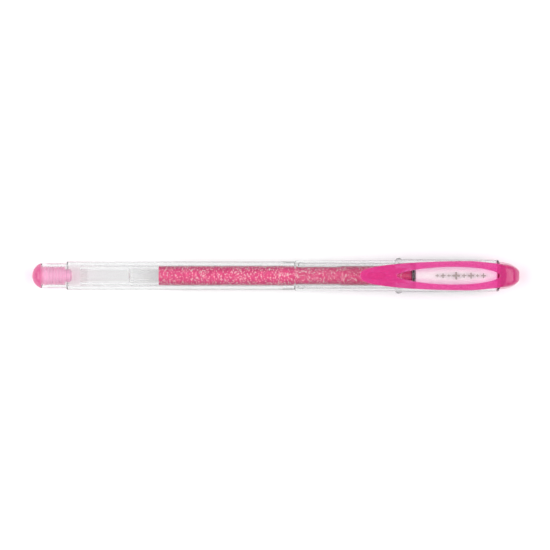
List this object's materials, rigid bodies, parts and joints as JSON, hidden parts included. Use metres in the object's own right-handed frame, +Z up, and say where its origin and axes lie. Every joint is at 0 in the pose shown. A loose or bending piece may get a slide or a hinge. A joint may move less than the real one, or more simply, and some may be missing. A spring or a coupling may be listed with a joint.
{
  "type": "gel pen",
  "caption": "Capped gel pen with a clear barrel and cap, glitter ink refill, ribbed tail plug and a leaf-shaped pocket clip with a window.",
  "frame": {"origin": "the middle of the pen's length, on the table surface under its widest ring", "axes": "+X along the pen from tail to crown, +Z up through the clip, +Y across"},
  "size_m": [0.15, 0.011, 0.0127],
  "materials": {
    "clear_plastic": "clear, polished",
    "tube_plastic": "clear, slightly hazy",
    "pink_plastic": "translucent pink, polished",
    "white_plastic": "satin white",
    "ink": "pink gel with fine glitter",
    "grease": "clear gel",
    "tip_metal": "turned, satin",
    "ball_metal": "polished",
    "seal_rubber": "matt"
  },
  "bodies": {
    "barrel": {"barrel": "clear_plastic", "tail_plug": "pink_plastic"},
    "refill": {"refill_tube": "tube_plastic", "tail_stopper": "white_plastic", "tip_holder": "white_plastic", "tip_body": "tip_metal", "gel_ink": "ink"},
    "follower": {"grease_follower": "grease", "follower_float": "tube_plastic"},
    "valve_ball": {"valve_ball": "ball_metal"},
    "writing_ball": {"writing_ball": "ball_metal"},
    "front_section": {"front_section": "clear_plastic"},
    "cap": {"cap_body": "clear_plastic", "inner_cap": "white_plastic", "cap_seal": "seal_rubber", "crown": "pink_plastic"},
    "clip": {"clip": "pink_plastic"}
  },
  "joints": [
    {"name": "refill_draw", "type": "slide", "parent": "barrel", "child": "refill", "axis": [1, 0, 0], "range_m": [0, 0.07]},
    {"name": "front_unscrew", "type": "hinge", "parent": "refill", "child": "front_section", "pos_m": [0, 0, 0.00555], "axis": [1, 0, 0], "range_deg": [0, 1440]},
    {"name": "cap_pull", "type": "slide", "parent": "front_section", "child": "cap", "axis": [1, 0, 0], "range_m": [0, 0.065]},
    {"name": "clip_flex", "type": "hinge", "parent": "cap", "child": "clip", "pos_m": [0.0712, 0, 0.01125], "axis": [0, 1, 0], "range_deg": [0, 4], "stiffness_Nm_per_rad": 1.6},
    {"name": "follower_advance", "type": "slide", "parent": "refill", "child": "follower", "axis": [1, 0, 0], "range_m": [0, 0.072], "deforming": ["gel_ink"]},
    {"name": "valve_travel", "type": "slide", "parent": "refill", "child": "valve_ball", "axis": [1, 0, 0], "range_m": [0, 0.0009]},
    {"name": "ball_roll", "type": "hinge", "parent": "refill", "child": "writing_ball", "pos_m": [0.0623, 0, 0.00555], "axis": [0, 1, 0], "continuous": true}
  ]
}
